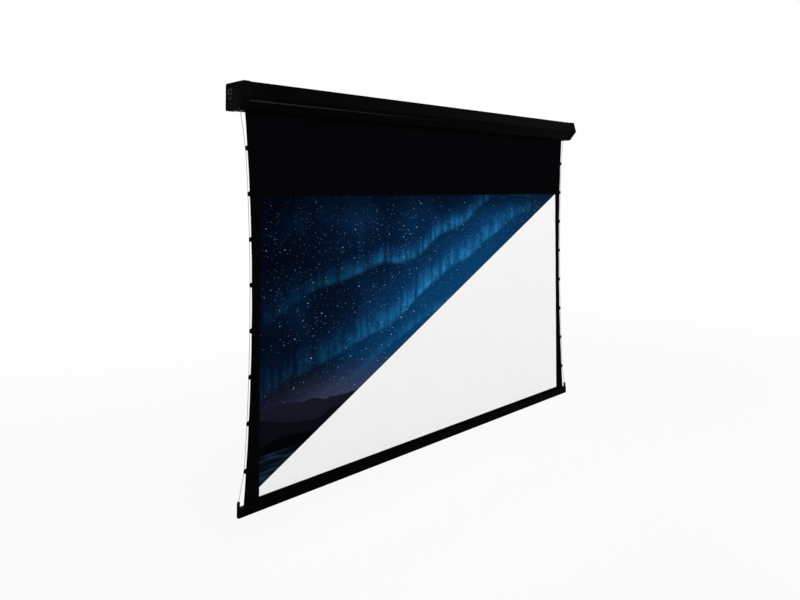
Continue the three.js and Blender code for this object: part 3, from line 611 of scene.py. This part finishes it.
def hem_outline():
    """Down from the slot, round the outside of the rod, up behind, and back round the inside.
    Near its top, a circle of radius r is y off the cloth's plane at the angle
    pi / 2 - asin(y / r)."""
    half = sheet_thickness / 2
    behind = sheet_thickness + hem_gap
    sides = []
    for radius, first, last in (
            (hem_radius + half, -half, behind + half), (hem_radius - half, half, behind - half)):
        start = math.pi / 2 - math.asin(first / radius)
        end = 2.5 * math.pi - math.asin(last / radius)
        sides.append(np.concatenate([
            [(cloth_plane + first, neck_z)], arc((cloth_plane, hem_z), radius, start, end, 40),
            [(cloth_plane + last, neck_z)]]))
    return np.concatenate([sides[0], sides[1][::-1]])


def crossed_waves(tree, split, pace):
    """sin(pace * x) * sin(pace * z), from a place split into its numbers."""
    return product(tree, *(
        sums(tree, "SINE", sums(tree, "MULTIPLY", split.outputs[axis], pace)) for axis in (0, 2)))


def weave_group():
    """Plain weave: two sine waves across each other, raised where one thread passes over, and a
    noise that thins and thickens the threads."""
    group, entry, leave = effect_group(
        "plain_weave",
        [("Place", "NodeSocketVector", None), ("Threads", "NodeSocketFloat", 900.0)],
        [("Height", "NodeSocketFloat"), ("Slub", "NodeSocketFloat")])
    scaled = node(group, "ShaderNodeVectorMath", {"operation": "SCALE"}, i0=entry.outputs["Place"])
    group.links.new(entry.outputs["Threads"], scaled.inputs["Scale"])
    split = node(group, "ShaderNodeSeparateXYZ", i0=scaled.outputs[0])
    over = crossed_waves(group, split, math.pi)
    group.links.new(sums(group, "ABSOLUTE", over), leave.inputs["Height"])
    group.links.new(noise(group, entry.outputs["Place"], 40.0, 4.0), leave.inputs["Slub"])
    return group


plain_weave = weave_group()
black_cloth, tree, shader, place = new_finish(
    "woven_black", Roughness=0.95, Specular_IOR_Level=0.004)
weave = node(tree, "ShaderNodeGroup", {"node_tree": plain_weave}, Place=place, Threads=1100.0)
tree.links.new(
    mixed(tree, weave.outputs["Slub"], (0.0008, 0.0009, 0.0013), (0.0019, 0.0020, 0.0027)),
    shader.inputs["Base Color"])

# A knurled band a few millimetres outside the picture's edge, where the white cloth is welded on.
split = node(tree, "ShaderNodeSeparateXYZ", i0=place)
picture_middle = (picture_top + picture_bottom) / 2
beside = sums(tree, "SUBTRACT", sums(tree, "ABSOLUTE", split.outputs[0]), picture_half)
from_middle = sums(tree, "ABSOLUTE", sums(tree, "SUBTRACT", split.outputs[2], picture_middle))
above = sums(tree, "SUBTRACT", from_middle, picture_top - picture_middle)
from_picture = sums(tree, "MAXIMUM", beside, above)
pressed = product(tree, ramp(tree, from_picture, 0.0025, 0.0035),
                  ramp(tree, from_picture, 0.0115, 0.0125, 1, 0))
knurl = crossed_waves(tree, split, 2100.0)
weld = sums(tree, "MULTIPLY", pressed, sums(tree, "MULTIPLY_ADD", knurl, 0.6, -1.4))
raised(tree, shader, sums(tree, "ADD", weave.outputs["Height"], weld), 0.0001)

masking = new_piece(
    "masking_sheet", *masking_sheet(), black_cloth, "case_body", "black_cloth")
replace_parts(masking, "masking_cloth")
hem_end = cloth_half(bar_top)
hem = new_piece(
    "hem_loop", *extrusion(hem_outline(), np.linspace(-hem_end, hem_end, 9)), black_cloth,
    "bar_body", "black_cloth")


def roll_up(piece):
    """Gives a piece a mesh of its own."""
    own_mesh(piece)


roll_up(masking)


def wound_turns():
    """The turns that stay on the roller, as a ring along X. The outer radius falls by one
    thickness in a turn: r = outer - thickness * angle / 2 pi."""
    low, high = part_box("dead_turns")
    tube_low, tube_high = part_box("roller_tube")
    tube = (tube_high.z - tube_low.z) / 2
    outer = (high.z - low.z) / 2
    angle = np.linspace(0, 2 * np.pi, 121)
    spiral = outer - sheet_thickness * angle / (2 * np.pi)
    loops = [(low.x, tube), (low.x, spiral), (high.x, spiral), (high.x, tube)]
    points = np.stack([
        np.stack([x + 0 * angle, (low.y + high.y) / 2 + radius * np.cos(angle),
                  (low.z + high.z) / 2 + radius * np.sin(angle)], -1)
        for x, radius in loops])
    return points, grid_faces(4, len(angle), close_rows=True, close_columns=True)


roll = new_piece("wound_turns", *wound_turns(), black_cloth, "roller_body", "black_cloth")
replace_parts(roll, "dead_turns")

# The white cloth is a matt woven sheet, welded behind the black one with a lap all round. The
# picture on it stands in for projected light, and show_picture turns it off.
show_picture = 1.0
bottom_lap = 0.010


def viewing_sheet():
    """A rectangle one lap larger than the picture, just behind the black cloth."""
    x = spread((-picture_half - weld_lap, 1), (-picture_half, 60), (picture_half, 1),
               (picture_half + weld_lap, 0))
    z = spread((picture_top + weld_lap, 1), (picture_top, 60), (picture_bottom, 1),
               (picture_bottom - bottom_lap, 0))
    across, down = np.meshgrid(x, z)
    front_y = cloth_plane + sheet_thickness / 2 + ripple(across, down)
    front = np.stack([across, front_y, down], -1)
    return thin_solid(front, front + (0, sheet_thickness, 0))


def woven_white(name):
    """White weave with its slubs; gives the material, its nodes, and the bare cloth's colour."""
    material, tree, shader, place = new_finish(name, Roughness=0.95, Specular_IOR_Level=0.004)
    weave = node(tree, "ShaderNodeGroup", {"node_tree": plain_weave}, Place=place, Threads=800.0)
    thread = mixed(tree, weave.outputs["Slub"], (0.85, 0.85, 0.845), (0.89, 0.89, 0.885))
    bare = mixed(tree, ramp(tree, weave.outputs["Height"], 0.0, 0.3), (0.74, 0.74, 0.735), thread)
    raised(tree, shader, weave.outputs["Height"], 0.00012)
    tree.links.new(bare, shader.inputs["Base Color"])
    return material, tree, shader, place, bare


def ramp_linear(tree, value, low, high):
    """A value taken straight from 0 at low to 1 at high."""
    return node(tree, "ShaderNodeMapRange", i0=value, i1=low, i2=high).outputs[0]


def wander(tree, along, waves, seed, detail):
    """Noise along one direction, with so many waves across the picture."""
    return node(tree, "ShaderNodeTexNoise", {"noise_dimensions": "1D"},
                W=sums(tree, "MULTIPLY_ADD", along, waves, seed), Scale=1.0,
                Detail=detail).outputs[0]


def stretched_noise(tree, place, stretch, detail):
    """Noise stretched by different shares along x, y and z."""
    return noise(tree, node(tree, "ShaderNodeMapping", Vector=place, Scale=stretch).outputs[0],
                 1.0, detail)


def night_sky(tree, place):
    """A picture for the upper left half, with u across and v up from 0 to 1: ribbons of light that
    are sharp below and fade upwards, with fine stars behind them, rows of hills under a low glow,
    and a rippled lake in front. Gives its colour, and where it is shown."""
    split = node(tree, "ShaderNodeSeparateXYZ", i0=place)
    u = ramp_linear(tree, split.outputs[0], -picture_half, picture_half)
    v = ramp_linear(tree, split.outputs[2], picture_bottom, picture_top)
    over_line = sums(tree, "SUBTRACT", v, sums(tree, "MULTIPLY_ADD", u, 0.97, 0.03))
    shown = ramp(tree, over_line, -0.0008, 0.0008, 0.0, show_picture)

    # The sky, with mist, a haze along the diagonal, and three sizes of star
    mist = product(tree, ramp(tree, noise(tree, place, 2.6, 7.0, 0.6), 0.40, 0.70),
                   ramp(tree, u, -0.1, 0.5, 0.3, 0.9))
    haze = product(tree, ramp(tree, over_line, 0.0, 0.45, 0.75, 0.0),
                   ramp(tree, u, 0.05, 0.45), ramp(tree, u, 0.6, 0.95, 1.0, 0.2))
    sky = mixed(tree, ramp(tree, u, 0.0, 0.7), (0.0007, 0.0025, 0.0085), (0.0014, 0.014, 0.046))
    sky = mixed(tree, mist, sky, (0.0016, 0.020, 0.066))
    sky = mixed(tree, haze, sky, (0.0024, 0.050, 0.150))
    for cells, size, bright in ((70.0, 0.21, 0.26), (34.0, 0.14, 0.70), (12.0, 0.062, 0.95)):
        spots = node(tree, "ShaderNodeTexVoronoi", Vector=place, Scale=cells)
        chance = node(tree, "ShaderNodeSeparateColor", i0=spots.outputs["Color"]).outputs[0]
        spark = ramp(tree, spots.outputs["Distance"], size * 0.35, size, bright, 0.0)
        lit = product(tree, spark, chance, chance)
        sky = mixed(tree, lit, sky, (0.72, 0.84, 1.0))

    # Ribbons of light: foot at the left, slope, swing, waves, seed, height and strength
    pleat = ramp(tree, stretched_noise(tree, place, (30.0, 1.0, 2.6), 4.0), 0.3, 0.68, 0.15, 1.0)
    fine = noise(tree, place, 11.0, 6.0, 0.65)
    middle = ramp(tree, sums(tree, "ABSOLUTE", sums(tree, "SUBTRACT", u, 0.52)),
                  0.05, 0.42, 1.0, 0.15)
    ribbons = (
        (0.30, 0.70, 0.12, 2.6, 4.7, 0.16, 0.95), (0.58, 0.50, 0.09, 3.4, 11.2, 0.11, 0.7),
        (0.20, 0.62, 0.07, 3.0, 21.9, 0.07, 0.4),
    )
    for low, slope, swing, waves, seed, height, strength in ribbons:
        straight = sums(tree, "MULTIPLY_ADD", u, slope, low - swing)
        bend = wander(tree, u, waves, seed, 1.5)
        foot = sums(tree, "MULTIPLY_ADD", bend, swing * 2, straight)
        rise = sums(tree, "SUBTRACT", v, foot)
        lit = product(
            tree, ramp(tree, rise, -0.010, 0.014), ramp(tree, rise, 0.008, height, 1.0, 0.0),
            pleat, ramp(tree, fine, 0.3, 0.62, 0.25, strength), middle)
        tint = mixed(tree, ramp(tree, rise, 0.0, height * 0.8),
                     (0.018, 0.22, 0.52), (0.003, 0.038, 0.18))
        sky = mixed(tree, lit, sky, tint)

    # The glow low down, the darker borders, three rows of hills, and the lake
    dusk = mixed(tree, ramp(tree, over_line, 0.0, 0.3, 1.0, 0.0),
                 (0.022, 0.024, 0.050), (0.060, 0.060, 0.115))
    sky = mixed(tree, ramp(tree, v, 0.16, 0.42, 0.85, 0.0), sky, dusk)
    border = product(tree, ramp(tree, v, 0.88, 1.0, 1.0, 0.35), ramp(tree, u, 0.0, 0.12, 0.5, 1.0))
    sky = mixed(tree, border, (0.0004, 0.0011, 0.0038), sky)
    hills = (
        (0.27, 0.06, 1.3, (0.0062, 0.0080, 0.0150)), (0.22, 0.07, 7.7, (0.0024, 0.0036, 0.0062)),
        (0.155, 0.04, 15.1, (0.0007, 0.0011, 0.0018)),
    )
    for height, swell, seed, colour in hills:
        ridge = wander(tree, u, 5.0, seed, 4.0)
        crest = sums(tree, "MULTIPLY_ADD", ridge, swell * 2, height - swell)
        below = sums(tree, "SUBTRACT", crest, v)
        sky = mixed(tree, ramp(tree, below, -0.0015, 0.0015), sky, colour)
    water = stretched_noise(tree, place, (5.0, 1.0, 60.0), 4.0)
    lake = mixed(tree, ramp(tree, water, 0.42, 0.66),
                 (0.0016, 0.0032, 0.0062), (0.011, 0.022, 0.042))
    return mixed(tree, ramp(tree, v, 0.128, 0.131, 1.0, 0.0), sky, lake), shown


white_cloth, tree, shader, place, bare = woven_white("woven_white_front")
picture, shown = night_sky(tree, place)
tree.links.new(mixed(tree, shown, bare, picture), shader.inputs["Base Color"])

viewing = new_piece("viewing_sheet", *viewing_sheet(), white_cloth, "case_body", "white_cloth")
viewing.data.materials.append(woven_white("woven_white_back")[0])
behind = np.array([face.normal.y > -0.5 for face in viewing.data.polygons], np.int32)
viewing.data.polygons.foreach_set("material_index", behind)
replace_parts(viewing, "viewing_cloth")
roll_up(viewing)

# The tension cords are braided polyester. Each runs straight from tab to tab, from inside the
# case to the post, and its tail goes down the post to a ferrule below the spring in the end cap.
cord_radius = 0.00175
strand_pitch = 0.009
bend_reach = 0.008
cord_from_edge = 0.0095
tabs_per_side = 8
tab_z = first_tab_z - tab_pitch * np.arange(tabs_per_side)
cord_top_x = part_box("tension_cord_right")[1].x - cord_radius
ferrule_low, ferrule_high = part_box("cord_ferrule_right")
post_x = (ferrule_low.x + ferrule_high.x) / 2
post_top_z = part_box("bar_cap_right")[1].z


def cord_x(z):
    """Distance of the right cord from the middle: straight runs between its tabs and its post,
    eased over a few millimetres where it turns."""
    tab_x = cloth_half(tab_z) + cord_from_edge
    knots_z = [ferrule_low.z, post_top_z, *tab_z[::-1], case_bottom, roll_z]
    knots_x = [post_x, post_x, *tab_x[::-1], cord_top_x, cord_top_x]
    shifts = np.linspace(-bend_reach, bend_reach, 9)
    return np.mean([np.interp(z + shift, knots_z, knots_x) for shift in shifts], 0)


def braided_cord(side, top, bottom):
    """A tube about the cord's line whose radius swells where either set of strands passes over:
    r = r0 * (0.95 + 0.05 * max(cos(4a + kz), cos(4a - kz)))."""
    z = np.linspace(top, bottom, round((top - bottom) / 0.00125) + 1)[:, None]
    angle = np.linspace(0, 2 * np.pi, 20, endpoint=False)[None, :]
    turn = 2 * np.pi * z / strand_pitch
    strand = np.maximum(np.cos(4 * angle + turn), np.cos(4 * angle - turn))
    radius = cord_radius * (0.95 + 0.05 * strand)
    x = side * cord_x(z) + radius * np.cos(angle)
    y = cloth_plane + radius * np.sin(angle)
    points = np.stack([x, y, z + 0 * x], -1)
    rows, columns = points.shape[:2]
    walls = grid_faces(rows, columns, close_columns=True)[:, ::-1]
    first = np.arange(columns)
    return points, [*walls, first, first[::-1] + (rows - 1) * columns]


cord_fibre, tree, shader, place = new_finish("cord_fibre", Roughness=0.8, Specular_IOR_Level=0.3)
grain = node(tree, "ShaderNodeGroup", {"node_tree": fine_grain}, Place=place, Grains=3000.0)
tree.links.new(
    mixed(tree, grain.outputs["Height"], (0.32, 0.32, 0.32), (0.44, 0.44, 0.435)),
    shader.inputs["Base Color"])
raised(tree, shader, grain.outputs["Height"], 0.0001)
for side, sign in (("left", -1), ("right", 1)):
    cord = new_piece(
        f"braided_cord_{side}", *braided_cord(sign, roll_z, post_top_z), cord_fibre, "case_body",
        "cord_grey", 60)
    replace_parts(cord, f"tension_cord_{side}")
    roll_up(cord)
    new_piece(
        f"cord_tail_{side}", *braided_cord(sign, post_top_z, ferrule_low.z), cord_fibre, "bar_body",
        "cord_grey", 60)

# Each tab is a strap of black cloth folded round the cord, with both ends welded together and to
# the back of the cloth's edge.
tab_half_height = 0.011
strap_thickness = 0.0006
strap_lap = 0.021
neck_fillet = 0.0045
strap_corner = 0.005
shoulder_drop = 0.003
shoulder_start = -0.001
shoulder_reach = 0.0042
loop_ease = 0.0011
lean_reach = 0.03


def strap_half(x):
    """Half the strap's height at a distance x out from the cord: rounded corners at its welded end,
    a wide lap behind the cloth, a fillet in to the neck, and shoulders rounded off at the fold."""
    edge = -cord_from_edge
    from_end = np.clip(x - edge + strap_lap, 0, strap_corner)
    corner = strap_corner - np.sqrt(strap_corner**2 - (strap_corner - from_end) ** 2)
    out = np.clip(x - edge, 0, neck_fillet)
    fillet = neck_fillet - np.sqrt(np.maximum(neck_fillet**2 - (neck_fillet - out) ** 2, 0))
    to_fold = np.clip((x - shoulder_start) / shoulder_reach, 0, 1)
    return tab_half_height + fillet - corner - shoulder_drop * to_fold**2


def tab_strap(sign, z):
    """Along the strap: out behind the cloth, round the cord, and back over itself."""
    radius = cord_radius + loop_ease
    near = sheet_thickness / 2 + strap_thickness / 2
    far = near + strap_thickness
    start = np.pi - math.asin(near / radius)
    end = 3 * np.pi - math.asin(far / radius)
    angle = np.linspace(start, end, 28)
    flat = spread((-cord_from_edge - strap_lap, 8), (-cord_from_edge - strap_lap + strap_corner, 3),
                  (-cord_from_edge, 10), (-radius * 1.1, 0))
    run = np.concatenate([flat, radius * np.cos(angle), flat[::-1]])
    off = np.concatenate([
        np.full(len(flat), near), radius * np.sin(angle), np.full(len(flat), far)])
    line = np.stack([run, off], 1)
    tangent = np.gradient(line, axis=0)
    tangent /= np.linalg.norm(tangent, axis=1, keepdims=True)
    normal = np.stack([-tangent[:, 1], tangent[:, 0]], 1)
    half = strap_half(line[:, 0])
    across = np.linspace(-1, 1, 9)[None, :]
    lean = (cord_x(z + lean_reach) - cord_x(z - lean_reach)) / (2 * lean_reach)
    layers = []
    for offset in (-strap_thickness / 2, strap_thickness / 2):
        place = line + normal * offset
        local_x = place[:, :1] + 0 * across
        local_z = half[:, None] * across
        x = sign * (cord_x(z) + local_x + lean * local_z)
        y = cloth_plane + place[:, 1:] + 0 * across
        layers.append(np.stack([x, y, z + local_z - lean * local_x], -1))
    return thin_solid(*layers) if sign > 0 else thin_solid(*layers[::-1])


for side, sign in (("left", -1), ("right", 1)):
    for i, z in enumerate(tab_z):
        strap = new_piece(
            f"strap_{side}_{i + 1}", *tab_strap(sign, z), black_cloth, "case_body",
            "black_cloth", 50)
        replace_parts(strap, f"tab_{side}_{i + 1}")
        roll_up(strap)

# The weight bar is an aluminium extrusion with the hem's slot along its top. It is powder coated
# like the case, and its moulded end caps carry the posts that the cords pass through.
bar_bottom = bar_low.z
bar_half_depth = (bar_high.y - bar_low.y) / 2
bar_front, bar_back = cloth_plane - bar_half_depth, cloth_plane + bar_half_depth
bar_end = bar_high.x
bar_corner = 0.0045
bar_slot_half = 0.0015
hem_seat = 0.0058
bar_corners = [
    (bar_front, bar_bottom, bar_corner), (bar_back, bar_bottom, bar_corner),
    (bar_back, bar_top, bar_corner), (bar_front, bar_top, bar_corner),
]


def bar_outline():
    """Round the outside, then down the slot and round the seat that holds the hem."""
    a, b, c, d = rounded_corners(bar_corners, steps=8)
    open_angle = math.asin(bar_slot_half / hem_seat)
    seat = arc((cloth_plane, hem_z), hem_seat, np.pi / 2 + open_angle, 2.5 * np.pi - open_angle, 24)
    front_edge = [(cloth_plane - bar_slot_half, bar_top)]
    back_edge = [(cloth_plane + bar_slot_half, bar_top)]
    return np.concatenate([a, b, c, back_edge, seat[::-1], front_edge, d])


bar_coat = grained_finish(
    "bar_coat", (0.0008, 0.0008, 0.0010), (0.0013, 0.0013, 0.0015), (0.4, 0.46), 1400.0,
    0.00003, Specular_IOR_Level=0.006)
bar_shell = new_piece(
    "bar_shell", *extrusion(bar_outline(), np.linspace(-bar_end, bar_end, 9)),
    bar_coat, "bar_body", "case_black")
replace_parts(bar_shell, "weight_bar")
for side in ("left", "right"):
    softened_copy(
        f"bar_end_{side}", f"bar_cap_{side}", moulded_black, "bar_body", 0.0006)

# The floor and the background are white to the camera, and three soft lamps light the screen:
# one in front at the left, one in front at the right, and one behind for the views from there.
floor_z = -2.65
bpy.ops.mesh.primitive_plane_add(size=60, location=(0, 0, floor_z))
floor = bpy.context.object
floor.name = "floor"
pale_floor, tree, shader, place = new_finish("pale_floor", Roughness=0.9, Specular_IOR_Level=0.1)
shader.inputs["Base Color"].default_value = (0.86, 0.86, 0.86, 1)
path = node(tree, "ShaderNodeLightPath")
glow = node(tree, "ShaderNodeEmission", Color=(1, 1, 1, 1), Strength=1.0)
blend = node(tree, "ShaderNodeMixShader")
distance = node(tree, "ShaderNodeVectorMath", {"operation": "LENGTH"}, i0=place).outputs["Value"]
whiteness = ramp(tree, distance, 3.0, 11.0, 0.86, 1.0)
tree.links.new(sums(tree, "MULTIPLY", path.outputs["Is Camera Ray"], whiteness), blend.inputs[0])
tree.links.new(shader.outputs[0], blend.inputs[1])
tree.links.new(glow.outputs[0], blend.inputs[2])
tree.links.new(blend.outputs[0], tree.nodes["Material Output"].inputs[0])
floor.data.materials.append(pale_floor)

world = bpy.data.worlds.new("studio")
bpy.context.scene.world = world
world.use_nodes = True
tree = world.node_tree
background = tree.nodes["Background"]
background.inputs["Color"].default_value = (1, 1, 1, 1)
path = node(tree, "ShaderNodeLightPath")
reflected = sums(
    tree, "MAXIMUM", path.outputs["Is Glossy Ray"], path.outputs["Is Transmission Ray"])
seen = sums(tree, "MAXIMUM", path.outputs["Is Camera Ray"], reflected)
soft_light = 0.41
strength = sums(tree, "MULTIPLY_ADD", seen, 1 - soft_light, soft_light)
tree.links.new(strength, background.inputs["Strength"])


def softbox(name, place, size, power):
    """A square lamp that faces the middle of the cloth."""
    lamp = bpy.data.lights.new(name, "AREA")
    lamp.size = size
    lamp.energy = power
    made = bpy.data.objects.new(name, lamp)
    bpy.context.scene.collection.objects.link(made)
    made.location = place
    made.rotation_mode = "QUATERNION"
    made.rotation_quaternion = (Vector((0, 0, -1)) - made.location).to_track_quat("-Z", "Y")


softbox("key_lamp", (-3.5, -7.0, 3.2), 4.0, 335)
softbox("fill_lamp", (5.0, -6.0, 1.0), 5.0, 200)
softbox("back_lamp", (1.5, 7.5, 2.5), 5.0, 250)

view = bpy.context.scene.view_settings
view.view_transform = "Standard"
